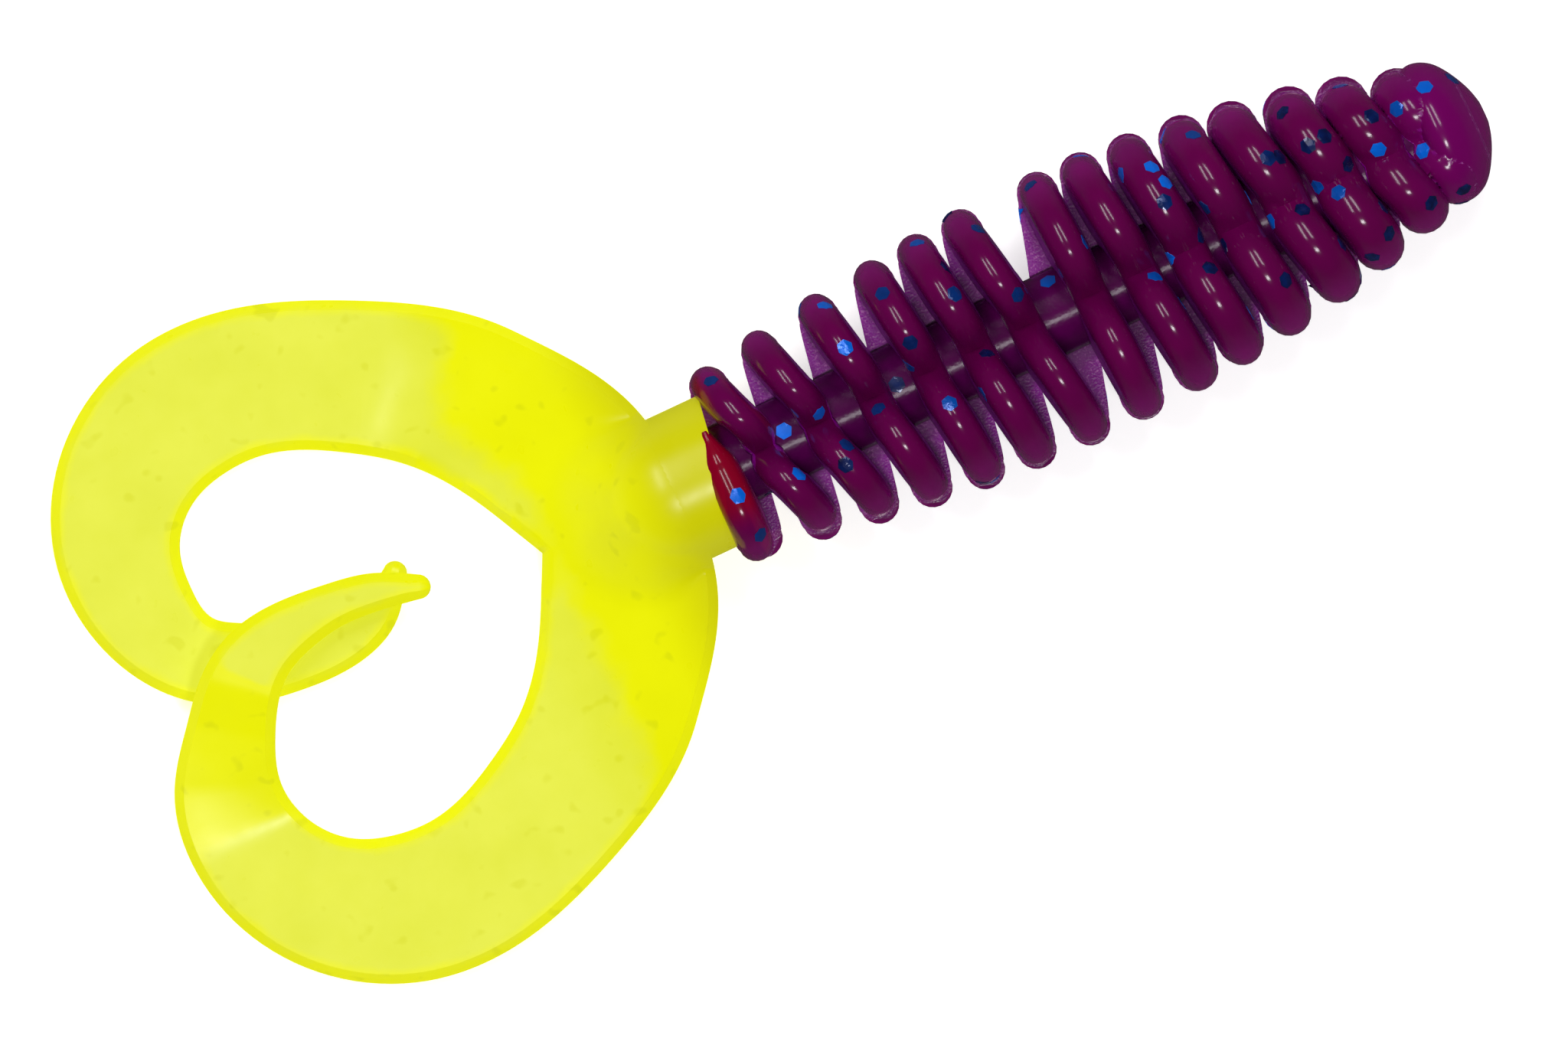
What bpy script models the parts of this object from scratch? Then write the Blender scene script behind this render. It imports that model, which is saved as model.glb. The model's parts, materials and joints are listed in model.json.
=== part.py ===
"""Ribbed twin-tail soft lure: a head, a chain of rib turns, a stub, a fork and two curled tails.

The nose is at the origin, the trunk runs along -X and the lure lies flat with +Z up.
Left is +Y. Each moving piece has its origin on the axis that it bends about.
"""
import math

import bmesh
import bpy
from mathutils import Vector

MM = 0.001

# Trunk
TURN_COUNT = 14
PITCH = 2.89 * MM
HEAD_LENGTH = 4.91 * MM
CORE_RADIUS = 2.15 * MM
RIB_THICKNESS = 1.6 * MM
RIB_CHAMFER = 0.3 * MM
LEFT_WEB = 2.2 * MM
LOWER_RIB_PLACE = 0.25
UPPER_RIB_PLACE = 0.75
REAR_HALF_WIDTH = 5.1 * MM
MID_HALF_WIDTH = 7.0 * MM
HEAD_HALF_WIDTH = 3.8 * MM
REAR_HEIGHT = 4.4 * MM
MID_HEIGHT = 5.6 * MM
HEAD_HEIGHT = 3.5 * MM
WIDEST_TURN = 6.0
LOBE_APEX = 0.41
SADDLE = 0.76
BELLY_FLAT = 0.5 * MM

# Head dome
DOME_LENGTH = 3.2 * MM
DOME_RADIUS = 3.6 * MM
NOSE_RADIUS = 2.2 * MM
DOME_ROUND = 1.9 * MM

# Stub between trunk and fork
STUB_RADIUS = 3.9 * MM
STUB_LENGTH = 1.5 * MM
STUB_NECK = 0.5 * MM
STUB_SETBACK = 1.0 * MM
BOSS_LENGTH = 3.3 * MM

# Tail plate, lying on the same level as the belly
TAIL_THICKNESS = 1.6 * MM
TAIL_CHAMFER = 0.5 * MM
CHAMFER_SHARE = 1 / 3
TAIL_LEAN = 0.03
FORK_APEX = 7.3 * MM
FORK_SHOULDER = [(0.0 * MM, STUB_RADIUS), (0.4 * MM, 6.3 * MM), (2.4 * MM, 9.4 * MM)]
FORK_CROTCH = (7.7 * MM, 2.0 * MM)

# Centre line of a tail: distance behind the fork's front, distance from the middle, width
TAIL_CURL = [
    (7.25 * MM, 8.5 * MM, 8.6 * MM),
    (9.3 * MM, 10.4 * MM, 8.3 * MM),
    (12.3 * MM, 12.2 * MM, 7.9 * MM),
    (17.5 * MM, 14.1 * MM, 7.7 * MM),
    (21.0 * MM, 14.0 * MM, 7.7 * MM),
    (24.8 * MM, 12.05 * MM, 7.1 * MM),
    (27.0 * MM, 8.4 * MM, 6.3 * MM),
    (26.9 * MM, 4.6 * MM, 5.4 * MM),
    (25.5 * MM, 2.05 * MM, 4.5 * MM),
]
LEFT_END = [
    (23.5 * MM, 0.9 * MM, 4.2 * MM),
    (21.2 * MM, 0.2 * MM, 3.5 * MM),
    (18.4 * MM, 0.0 * MM, 2.9 * MM),
    (16.2 * MM, 0.6 * MM, 2.2 * MM),
    (14.5 * MM, 2.1 * MM, 1.2 * MM),
]
RIGHT_END = [
    (24.2 * MM, 0.3 * MM, 4.1 * MM),
    (22.5 * MM, -1.0 * MM, 3.6 * MM),
    (20.2 * MM, -1.65 * MM, 2.9 * MM),
    (18.0 * MM, -1.8 * MM, 2.3 * MM),
    (15.9 * MM, -1.6 * MM, 2.0 * MM),
    (13.7 * MM, -0.95 * MM, 1.3 * MM),
]
FIRST_CUT = 3.6
SECOND_CUT = 6.2

# Lengths of a tail and the edge that each turns about: 1 is the outer edge, 0 the inner one
TURN_EDGES = [("root", 1), ("bend", 1), ("tip", 0)]

# Where the right tail rises along its centre line to cross over the left one
LIFT_START = 6.0
LIFT_END = 8.0
CROSSING_GAP = 0.6 * MM

# Gap between neighbours, and the facets of round and curved pieces
CLEARANCE = 0.3 * MM
WELD = 0.01 * MM
CORE_SIDES = 16
DOME_SIDES = 24
LOBE_STEPS = 4
SADDLE_STEPS = 3
ROUND_STEPS = 4
STEPS_PER_STATION = 2
HEADING_STEP = 0.01
SHARP_ANGLE = math.radians(35)

# Colours and gloss from the photograph
PURPLE = (0.115, 0.0, 0.07, 1.0)
YELLOW = (0.82, 0.87, 0.01, 1.0)
TRUNK_ROUGHNESS = 0.25
TAIL_ROUGHNESS = 0.3

FLOOR = BELLY_FLAT - MID_HEIGHT
STUB_FRONT = -HEAD_LENGTH - (TURN_COUNT - 1) * PITCH - STUB_SETBACK
STUB_REAR = STUB_FRONT - STUB_NECK - STUB_LENGTH
FORK_FRONT = STUB_REAR - CLEARANCE
TAIL_LEVEL = FLOOR + TAIL_THICKNESS / 2


def clear_scene():
    """Remove every object that the file starts with."""
    for obj in list(bpy.data.objects):
        bpy.data.objects.remove(obj)


def make_collection(name):
    """Add a collection to the scene."""
    collection = bpy.data.collections.new(name)
    bpy.context.scene.collection.children.link(collection)
    return collection


def soft_plastic(name, colour, roughness):
    """Make the soft plastic of one piece."""
    material = bpy.data.materials.new(name)
    material.use_nodes = True
    shader = material.node_tree.nodes["Principled BSDF"]
    shader.inputs["Base Color"].default_value = colour
    shader.inputs["Roughness"].default_value = roughness
    shader.inputs["Metallic"].default_value = 0.0
    material.diffuse_color = colour
    return material


def new_object(name, mesh, collection):
    """Wrap a mesh in an object."""
    obj = bpy.data.objects.new(name, mesh)
    collection.objects.link(obj)
    return obj


def mesh_from(bm, name):
    """Turn a bmesh into a mesh with its faces pointing out."""
    bmesh.ops.recalc_face_normals(bm, faces=bm.faces)
    mesh = bpy.data.meshes.new(name)
    bm.to_mesh(mesh)
    bm.free()
    return mesh


def evaluated(obj):
    """A new mesh of an object with its modifiers applied."""
    graph = bpy.context.evaluated_depsgraph_get()
    graph.update()
    return bpy.data.meshes.new_from_object(obj.evaluated_get(graph))


def prism(name, outline, thickness, to_world, chamfered=()):
    """Extrude a flat outline both ways, with the rims of the chosen outline edges chamfered."""
    bm = bmesh.new()
    back = [bm.verts.new(to_world(u, v, -thickness / 2)) for u, v in outline]
    front = [bm.verts.new(to_world(u, v, thickness / 2)) for u, v in outline]
    bm.faces.new(back)
    bm.faces.new(front)
    count = len(outline)
    for i in range(count):
        j = (i + 1) % count
        bm.faces.new((back[i], back[j], front[j], front[i]))
    rims = [bm.edges.get((ring[i], ring[(i + 1) % count])) for ring in (back, front) for i in chamfered]
    if rims:
        bmesh.ops.bevel(bm, geom=rims, offset=RIB_CHAMFER, segments=1, affect="EDGES")
    return mesh_from(bm, name)


def turned(name, profile, sides):
    """Turn a profile of (x, radius) points about the trunk's axis."""
    line = bpy.data.meshes.new(name + "_profile")
    edges = [(i, i + 1) for i in range(len(profile) - 1)]
    line.from_pydata([(x, 0.0, radius) for x, radius in profile], edges, [])
    obj = new_object(name + "_profile", line, bpy.context.scene.collection)
    screw = obj.modifiers.new("Screw", "SCREW")
    screw.axis = "X"
    screw.steps = sides
    screw.render_steps = sides
    screw.use_merge_vertices = True
    screw.merge_threshold = WELD
    bm = bmesh.new()
    bm.from_mesh(evaluated(obj))
    bpy.data.objects.remove(obj)
    bmesh.ops.remove_doubles(bm, verts=bm.verts, dist=WELD)
    return mesh_from(bm, name)


def loft(name, rings):
    """Skin a run of rings that all have the same number of points, and cap both ends."""
    bm = bmesh.new()
    loops = [[bm.verts.new(point) for point in ring] for ring in rings]
    for near, far in zip(loops, loops[1:]):
        for i in range(len(near)):
            j = (i + 1) % len(near)
            bm.faces.new((near[i], near[j], far[j], far[i]))
    bm.faces.new(loops[0])
    bm.faces.new(loops[-1])
    return mesh_from(bm, name)


def combine(base, others, operation):
    """Join others to base, or keep only what base shares with them, and remove them."""
    for other in others:
        modifier = base.modifiers.new(operation.title(), "BOOLEAN")
        modifier.operation = operation
        modifier.solver = "EXACT"
        modifier.object = other
    mesh = evaluated(base)
    base.modifiers.clear()
    base.data = mesh
    for other in others:
        bpy.data.objects.remove(other)


def settle(obj, pivot, parent, material):
    """Put a piece's origin on its pivot and hang it from its parent."""
    for vertex in obj.data.vertices:
        vertex.co -= pivot
    obj["pivot"] = pivot
    obj.location = pivot
    if parent is not None:
        obj.parent = parent
        obj.location = pivot - Vector(parent["pivot"])
    obj.data.materials.clear()
    obj.data.materials.append(material)
    obj.data.shade_smooth()
    obj.data.set_sharp_from_angle(angle=SHARP_ANGLE)


def turn_x(turn):
    """Right-hand tip of a turn's lower half rib, counted from the rear."""
    return -HEAD_LENGTH - (TURN_COUNT - 1 - turn) * PITCH


def swell(turn, rear, middle, head):
    """A size that grows from the rear to the widest turn and shrinks again to the head."""
    if turn < WIDEST_TURN:
        away = (WIDEST_TURN - turn) / WIDEST_TURN
        return middle - (middle - rear) * away**2
    away = (turn - WIDEST_TURN) / (TURN_COUNT - 1 - WIDEST_TURN)
    return middle - (middle - head) * away**2


def lobe(half_width, height):
    """One side of a half rib, from its outer tip over the lobe and down to the middle saddle."""
    apex = LOBE_APEX * half_width
    dip = (1 - SADDLE) * height
    points = []
    for i in range(LOBE_STEPS + 1):
        angle = math.pi / 2 * i / LOBE_STEPS
        points.append((apex + (half_width - apex) * math.cos(angle), height * math.sin(angle)))
    for i in range(1, SADDLE_STEPS):
        share = i / SADDLE_STEPS
        points.append((apex * (1 - share), height - dip * (1 - math.cos(math.pi * share)) / 2))
    return points


def half_rib(name, turn, upper):
    """A half rib that runs aslant across the trunk, joined at the left and parted at the right."""
    half_width = swell(turn, REAR_HALF_WIDTH, MID_HALF_WIDTH, HEAD_HALF_WIDTH)
    height = swell(turn, REAR_HEIGHT, MID_HEIGHT, HEAD_HEIGHT)
    slant = PITCH / 4 / half_width
    part = CLEARANCE / 2
    side = lobe(half_width, height)
    outline = [(-u, max(v, part)) for u, v in side] + [(0, SADDLE * height)] + side[::-1]
    crest = range(len(outline) - 1)
    web = half_width - LEFT_WEB
    outline += [(half_width, -part), (web, -part), (web, part)]
    flip = 1 if upper else -1
    middle = turn_x(turn) + PITCH * (UPPER_RIB_PLACE if upper else LOWER_RIB_PLACE)

    def to_world(u, v, w):
        return Vector((middle - flip * slant * u + w, u, max(flip * v, FLOOR)))

    return prism(name, outline, RIB_THICKNESS, to_world, crest)


def make_ribs(name, turn, collection):
    """The lower and the upper half rib of one turn."""
    lower = new_object(name + "_lower_rib", half_rib(name, turn, False), collection)
    upper = new_object(name + "_upper_rib", half_rib(name, turn, True), collection)
    return [lower, upper]


def core_piece(name, rear_lower, rear_upper, front_lower, front_upper, collection):
    """A length of core whose ends step between the upper and the lower half."""
    part = CLEARANCE / 2
    tall = 2 * CORE_RADIUS
    outline = [(rear_lower, -tall), (front_lower, -tall), (front_lower, part), (front_upper, part)]
    outline += [(front_upper, tall), (rear_upper, tall), (rear_upper, -part), (rear_lower, -part)]

    def to_world(u, v, w):
        return Vector((u, w, v))

    start = min(rear_lower, rear_upper) - CORE_RADIUS
    end = max(front_lower, front_upper) + CORE_RADIUS
    rod = turned(name, [(start, 0), (start, CORE_RADIUS), (end, CORE_RADIUS), (end, 0)], CORE_SIDES)
    piece = new_object(name, rod, collection)
    steps = new_object(name + "_steps", prism(name, outline, 2 * tall, to_world), collection)
    combine(piece, [steps], "INTERSECT")
    return piece


def rear_steps(turn):
    """Where a turn's core starts: its lower half and its upper half."""
    return turn_x(turn) - PITCH / 4 + CLEARANCE / 2, turn_x(turn) + PITCH / 4 + CLEARANCE / 2


def front_steps(turn):
    """Where a turn's core ends: its lower half and its upper half."""
    lower, upper = rear_steps(turn + 1)
    return lower - CLEARANCE, upper - CLEARANCE


def make_turn(name, turn, collection):
    """One turn of the trunk: a length of core with a lower and an upper half rib."""
    piece = core_piece(name, *rear_steps(turn), *front_steps(turn), collection)
    combine(piece, make_ribs(name, turn, collection), "UNION")
    return piece


def make_head(name, collection):
    """The front turn with its thick rounded nose."""
    turn = TURN_COUNT - 1
    inside = -DOME_LENGTH / 2
    piece = core_piece(name, *rear_steps(turn), inside, inside, collection)
    profile = [(-DOME_LENGTH, 0), (-DOME_LENGTH, DOME_RADIUS)]
    for i in range(ROUND_STEPS + 1):
        angle = math.pi / 2 * i / ROUND_STEPS
        radius = NOSE_RADIUS + (DOME_RADIUS - NOSE_RADIUS) * math.cos(angle)
        profile.append((DOME_ROUND * (math.sin(angle) - 1), radius))
    profile.append((0, 0))
    dome = new_object(name + "_dome", turned(name, profile, DOME_SIDES), collection)
    combine(piece, make_ribs(name, turn, collection) + [dome], "UNION")
    return piece


def make_stub(name, collection):
    """The round stub whose tongue enters the trunk's core."""
    inside = STUB_REAR + STUB_LENGTH / 2
    piece = core_piece(name, inside, inside, *front_steps(-1), collection)
    profile = [(STUB_REAR, 0), (STUB_REAR, STUB_RADIUS), (STUB_FRONT - STUB_NECK, STUB_RADIUS)]
    profile += [(STUB_FRONT, CORE_RADIUS), (STUB_FRONT, 0)]
    flange = new_object(name + "_flange", turned(name, profile, DOME_SIDES), collection)
    combine(piece, [flange], "UNION")
    return piece


def between(values, place):
    """Smooth value at a place along a list of values, through each of them."""
    i = min(int(place), len(values) - 2)
    t = place - i
    before = values[max(i - 1, 0)]
    after = values[min(i + 2, len(values) - 1)]
    here, there = values[i], values[i + 1]
    return 0.5 * (
        2 * here
        + (there - before) * t
        + (2 * before - 5 * here + 4 * there - after) * t**2
        + (3 * here - before - 3 * there + after) * t**3
    )


class Tail:
    """A curled ribbon: where its centre line, edges and height are at a place along it."""

    def __init__(self, side, end, lift):
        stations = TAIL_CURL + end
        self.side = side
        self.lift = lift
        self.last = len(stations) - 1
        self.behind = [station[0] for station in stations]
        self.aside = [station[1] for station in stations]
        self.width = [station[2] for station in stations]

    def centre(self, place):
        """Centre line as (behind, aside)."""
        return Vector((between(self.behind, place), between(self.aside, place)))

    def heading(self, place):
        """Direction of the centre line."""
        ahead = min(place + HEADING_STEP, self.last)
        return (self.centre(ahead) - self.centre(ahead - 2 * HEADING_STEP)).normalized()

    def edges(self, place, shift=0.0):
        """Inner and outer edge points, moved along the ribbon by shift."""
        heading = self.heading(place)
        across = Vector((-heading.y, heading.x)) * between(self.width, place) / 2
        centre = self.centre(place) + heading * shift
        return centre - across, centre + across

    def ring(self, place, shift=0.0):
        """Chamfered section of the ribbon."""
        inner, outer = self.edges(place, shift)
        across = (outer - inner).normalized()
        rise = min(max((place - LIFT_START) / (LIFT_END - LIFT_START), 0), 1)
        lift = self.lift * rise**2 * (3 - 2 * rise)
        half = TAIL_THICKNESS / 2
        inset = min(TAIL_CHAMFER, (outer - inner).length * CHAMFER_SHARE)
        corners = [(inner, -half), (outer, -half), (outer, half - inset)]
        corners += [(outer - across * inset, half), (inner + across * inset, half), (inner, half - inset)]
        return [tail_point(point, self.side, height + lift) for point, height in corners]


def slope_run():
    """How far behind the fork's front the plate comes down to the tail level."""
    inner, outer = Tail(1, LEFT_END, 0.0).edges(0)
    return max(inner.x, outer.x)


def tail_point(point, side, height):
    """World place of a tail point given as (behind, aside), on the sloped and then level plate."""
    fall = min(point.x / slope_run(), 1.0)
    y = side * point.y + TAIL_LEAN * (point.x - FORK_APEX)
    return Vector((FORK_FRONT - point.x, y, TAIL_LEVEL * fall + height))


def make_fork(name, collection):
    """The plate that comes down from the stub's domed end and splits into two tails."""
    inner, outer = Tail(1, LEFT_END, 0.0).edges(0, -CLEARANCE)
    half = [Vector(point) for point in FORK_SHOULDER] + [outer, inner, Vector(FORK_CROTCH)]
    outline = [(point, 1) for point in half] + [(Vector((FORK_APEX, 0)), 1)]
    outline += [(point, -1) for point in reversed(half)]
    rings = []
    for height in (-TAIL_THICKNESS / 2, TAIL_THICKNESS / 2):
        rings.append([tail_point(point, side, height) for point, side in outline])
    piece = new_object(name, loft(name, rings), collection)
    profile = [(FORK_FRONT, 0), (FORK_FRONT, STUB_RADIUS)]
    for i in range(1, ROUND_STEPS + 1):
        angle = math.pi / 2 * i / ROUND_STEPS
        profile.append((FORK_FRONT - BOSS_LENGTH * math.sin(angle), STUB_RADIUS * math.cos(angle)))
    boss = new_object(name + "_boss", turned(name, profile, DOME_SIDES), collection)
    combine(piece, [boss], "UNION")
    return piece


def make_tail_piece(name, tail, start, end, collection):
    """A length of tail, with half the clearance left at each end that meets another length."""
    count = max(2, round((end - start) * STEPS_PER_STATION))
    rings = []
    for i in range(count + 1):
        place = start + (end - start) * i / count
        shift = 0.0
        if i == 0 and start > 0:
            shift = CLEARANCE / 2
        if i == count and end < tail.last:
            shift = -CLEARANCE / 2
        rings.append(tail.ring(place, shift))
    return new_object(name, loft(name, rings), collection)


def edge_pivot(tail, place, edge):
    """Point on the inner (0) or outer (1) edge that a length of tail turns about."""
    return tail_point(tail.edges(place)[edge], tail.side, 0.0)


def build():
    """Build the whole lure."""
    clear_scene()
    collection = make_collection("soft_plastic_worm")
    piece = make_head("head", collection)
    settle(piece, Vector((0, 0, 0)), None, soft_plastic("head_plastic", PURPLE, TRUNK_ROUGHNESS))
    for turn in range(TURN_COUNT - 2, -1, -1):
        name = f"trunk_turn_{TURN_COUNT - 1 - turn:02d}"
        parent, piece = piece, make_turn(name, turn, collection)
        pivot = Vector((turn_x(turn + 1), 0, 0))
        settle(piece, pivot, parent, soft_plastic(name + "_plastic", PURPLE, TRUNK_ROUGHNESS))
    stub = make_stub("tail_stub", collection)
    settle(stub, Vector((turn_x(0), 0, 0)), piece, soft_plastic("stub_plastic", YELLOW, TAIL_ROUGHNESS))
    fork = make_fork("tail_fork", collection)
    pivot = Vector((FORK_FRONT, 0, STUB_RADIUS))
    settle(fork, pivot, stub, soft_plastic("fork_plastic", YELLOW, TAIL_ROUGHNESS))
    tails = {
        "left": Tail(1, LEFT_END, 0.0),
        "right": Tail(-1, RIGHT_END, TAIL_THICKNESS + CROSSING_GAP),
    }
    for side, tail in tails.items():
        parent = fork
        cuts = [0.0, FIRST_CUT, SECOND_CUT, tail.last]
        for (part, edge), start, end in zip(TURN_EDGES, cuts, cuts[1:]):
            name = f"{side}_tail_{part}"
            piece = make_tail_piece(name, tail, start, end, collection)
            material = soft_plastic(name + "_plastic", YELLOW, TAIL_ROUGHNESS)
            settle(piece, edge_pivot(tail, start, edge), parent, material)
            parent = piece


build()
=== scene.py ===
"""Looks of a ribbed twin-tail soft lure: glossy purple glitter trunk, fluorescent yellow tails.

Sizes are in millimetres in the lure's own frame (nose at the origin, trunk along -X) and are
turned into metres where a mesh is made. Left is +Y.
"""
import json
import math
import random

import bmesh
import bpy
import numpy as np
from mathutils import Matrix, Vector, kdtree, noise
from mathutils.bvhtree import BVHTree


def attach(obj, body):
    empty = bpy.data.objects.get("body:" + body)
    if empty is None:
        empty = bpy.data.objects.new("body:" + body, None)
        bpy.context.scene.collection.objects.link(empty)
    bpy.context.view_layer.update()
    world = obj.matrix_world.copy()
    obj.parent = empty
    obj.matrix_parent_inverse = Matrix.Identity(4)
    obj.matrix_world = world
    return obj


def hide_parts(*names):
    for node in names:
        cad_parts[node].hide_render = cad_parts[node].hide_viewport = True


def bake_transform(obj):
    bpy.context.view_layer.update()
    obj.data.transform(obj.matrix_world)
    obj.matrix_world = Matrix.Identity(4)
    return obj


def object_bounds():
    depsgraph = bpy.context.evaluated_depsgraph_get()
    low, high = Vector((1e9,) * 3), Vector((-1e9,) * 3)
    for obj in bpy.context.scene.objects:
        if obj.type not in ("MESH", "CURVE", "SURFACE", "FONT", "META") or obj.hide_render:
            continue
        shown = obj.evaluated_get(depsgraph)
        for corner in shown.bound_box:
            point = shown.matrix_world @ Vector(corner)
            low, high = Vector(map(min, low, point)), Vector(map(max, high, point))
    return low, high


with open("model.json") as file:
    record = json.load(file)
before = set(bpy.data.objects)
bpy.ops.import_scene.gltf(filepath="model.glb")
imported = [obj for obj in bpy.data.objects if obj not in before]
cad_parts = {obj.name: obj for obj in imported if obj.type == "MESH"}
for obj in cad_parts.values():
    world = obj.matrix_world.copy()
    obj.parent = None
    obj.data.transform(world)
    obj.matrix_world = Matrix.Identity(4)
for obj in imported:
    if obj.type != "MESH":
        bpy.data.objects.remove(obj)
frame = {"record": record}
CAD_BOX = [list(corner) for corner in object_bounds()]
MM = 0.001

# Trunk, from the frame's hinges and the solids' sizes
JOINTS = {joint["name"]: joint for joint in frame["record"]["behaviour"]["joints"]}
TRUNK_JOINTS = [joint for name, joint in JOINTS.items() if name.startswith("trunk_bend")]
RIGHT_TIPS = sorted(joint["pos_m"][0] / MM for joint in TRUNK_JOINTS)
TURNS = len(RIGHT_TIPS)
PITCH = RIGHT_TIPS[1] - RIGHT_TIPS[0]
FLOOR = CAD_BOX[0][2] / MM
CORE_RADIUS = 2.15
REAR_SIZE = (5.1, 4.4)
MID_SIZE = (7.0, 5.6)
HEAD_SIZE = (3.8, 3.5)
WIDEST_TURN = 6.0
LOBE_APEX = 0.41
INNER_FALL = 1.2
CREST_RADIUS = 1.02
HEAD_CREST_RADIUS = 1.38
HEAD_START = 5
HEAD_FALL = 1.75
HEAD_CORE_GROWTH = 0.4
HEAD_CORE = (-15.0, -4.0)
DRAFT = 0.04
PARTING_OVERLAP = 0.1
UPPER_INSET = 0.12
CORE_ENDS = (-43.4, -1.0)

# The red wedge that closes the trunk: its middle, how far left it starts, how it widens and its flat crest
FIRST_X = -42.9
FIRST_END = 2.1
FIRST_GROWTH = 0.36
FIRST_RADII = (0.12, 0.92)
FIRST_FALL = 3.0
FIRST_DROP = 0.2

# How far the soft rib ends lean along the trunk from even spacing, from the rear to the head
LEFT_LEAN = (-0.66, -0.41, 0.14, 0.54, 0.24, -0.07, 1.35, 0.87, 0.58, 0.51, 0.19, 0.25, -0.02, -0.17)
RIGHT_LEAN = (0.0, 0.24, 0.33, 0.26, 0.19, 0.11, 0.2, 0.33, 0.53, 0.3, 0.23, 0.32, 0.09, 0.02, -0.68)

# Facets, and the angles in degrees above which an edge is sharp
ARC_STEPS = 12
SADDLE_STEPS = 10
CREST_STEPS = 10
FLANK_STEPS = 4
CORE_SIDES = 64
CORE_STEP = 0.35
TRUNK_SHARP_ANGLE = 50
TAIL_SHARP_ANGLE = 35

# Marks for the trunk's material and its painted light and shade: a flank's foot and its rise to the
# shoulder, and how far a mark carries
FLANK_FOOT = 0.5
FLANK_RISE = 0.35
MARK_REACH = 0.4
CORE_TOLERANCE = 0.03

# Where the colours change, from the first to the full tint
RED_X = (-41.7, -42.3)
RED_Y = (-3.6, -1.8)
RED_Z = (0.6, 2.0)
HEAD_TINT_X = (-6.0, -2.0)
# The stub's painted shade: darker and more olive towards the trunk
STUB_SHADE_X = (-49.5, -45.0)

# Head dome as (x, radius)
DOME = [
    (-3.5, 2.9), (-3.3, 3.4), (-2.7, 3.78), (-2.0, 3.7), (-1.4, 3.35), (-0.9, 2.75), (-0.5, 2.05),
    (-0.15, 1.2), (0.0, 0.6),
]
DOME_RINGS = 6

# Glitter seen from above as (x, y, brightness)
FLAKES = [
    (-39.2, 0.4, 1.0), (-39.4, -1.9, 1.0), (-37.2, 0.1, 0.8), (-42.7, -1.6, 0.8), (-34.6, 2.9, 0.8),
    (-34.6, 5.3, 0.7), (-31.5, 1.7, 0.2), (-31.0, -1.9, 0.5), (-29.6, -2.2, 0.4), (-28.4, 3.0, 0.3),
    (-29.0, 6.2, 0.5), (-18.5, 4.9, 0.6), (-16.6, 4.6, 0.9), (-16.3, 3.6, 1.0), (-17.4, 0.0, 1.0),
    (-18.8, -0.2, 0.6), (-18.1, -2.3, 1.0), (-15.2, -4.2, 0.6), (-12.8, 1.1, 0.6), (-12.3, -0.5, 0.7),
    (-5.8, 0.2, 1.0), (-3.8, -0.2, 0.8), (-2.3, 2.4, 0.7), (-5.4, 2.2, 0.1), (-8.0, 2.3, 0.1),
    (-9.5, -3.0, 0.1), (-14.0, 5.2, 0.4), (-21.3, 2.6, 0.5), (-23.5, 1.6, 0.5), (-32.1, 0.7, 0.4),
    (-36.6, -1.6, 0.3), (-34.4, -0.6, 0.3), (-27.3, -0.1, 0.1), (-6.8, -2.2, 0.2), (-2.7, -3.2, 0.1),
    (-8.6, -0.6, 0.5), (-5.8, 4.3, 0.4), (-0.8, 2.2, 0.3), (-11.4, 6.5, 0.3), (-4.4, 2.0, 0.5),
    (-9.1, 0.1, 0.5), (-9.0, 2.2, 0.1), (-10.5, 2.3, 0.1), (-9.4, 4.3, 0.1), (-11.1, 2.5, 0.2),
    (-15.1, 1.6, 0.3), (-15.5, 0.4, 0.2), (-15.0, -0.6, 0.1), (-25.5, 1.6, 0.3), (-33.6, 0.1, 0.1),
    (-37.1, -2.5, 0.1), (-28.2, 4.4, 0.1), (-12.9, -3.5, 0.1), (-7.5, -0.1, 0.1), (-7.1, -3.6, 0.1),
    (-25.0, 5.8, 0.3), (-22.6, 6.4, 0.3), (-10.6, -0.6, 0.1), (-4.5, -3.1, 0.1), (-16.1, -1.3, 0.1),
    (-16.8, 2.7, 0.2), (-31.7, 4.6, 0.3), (-42.5, -3.9, 0.3), (-41.5, 4.3, 0.3), (-8.4, -4.3, 0.1),
]

# A flake's shape, the moves tried to lay it without a fold, and the flakes scattered over the rest
FLAKE_RADIUS = 0.45
FLAKE_SIDES = 12
FLAKE_RINGS = (0.35, 0.7, 1.0)
FLAKE_RISE = 0.03
FLAKE_FOLD = 0.6
FLAKE_MOVES = [
    (0, 0), (0.3, 0), (-0.3, 0), (0, 0.3), (0, -0.3), (0.6, 0), (-0.6, 0), (0, 0.6), (0, -0.6),
    (0.9, 0.3), (-0.9, -0.3),
]
SCATTERED_FLAKES = 110
SCATTER_SPAN = (-42, -1)
SCATTER_HALF_TURNS = (0.95, 2.05)
OUTSIDE = 20

# Yellow stub: its slanted front, the end of its cylinder and the length of its dome under the fork's skin
STUB_RADIUS = 3.9
STUB_FRONT = -43.0
STUB_SLANT = 0.15
STUB_END = -45.6
STUB_DOME = 3.8
STUB_PROUD = 0.02
STUB_SINK = 0.05
STUB_STEPS = 10
STUB_BAND = 0.8
STUB_TUCK = 0.1

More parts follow.
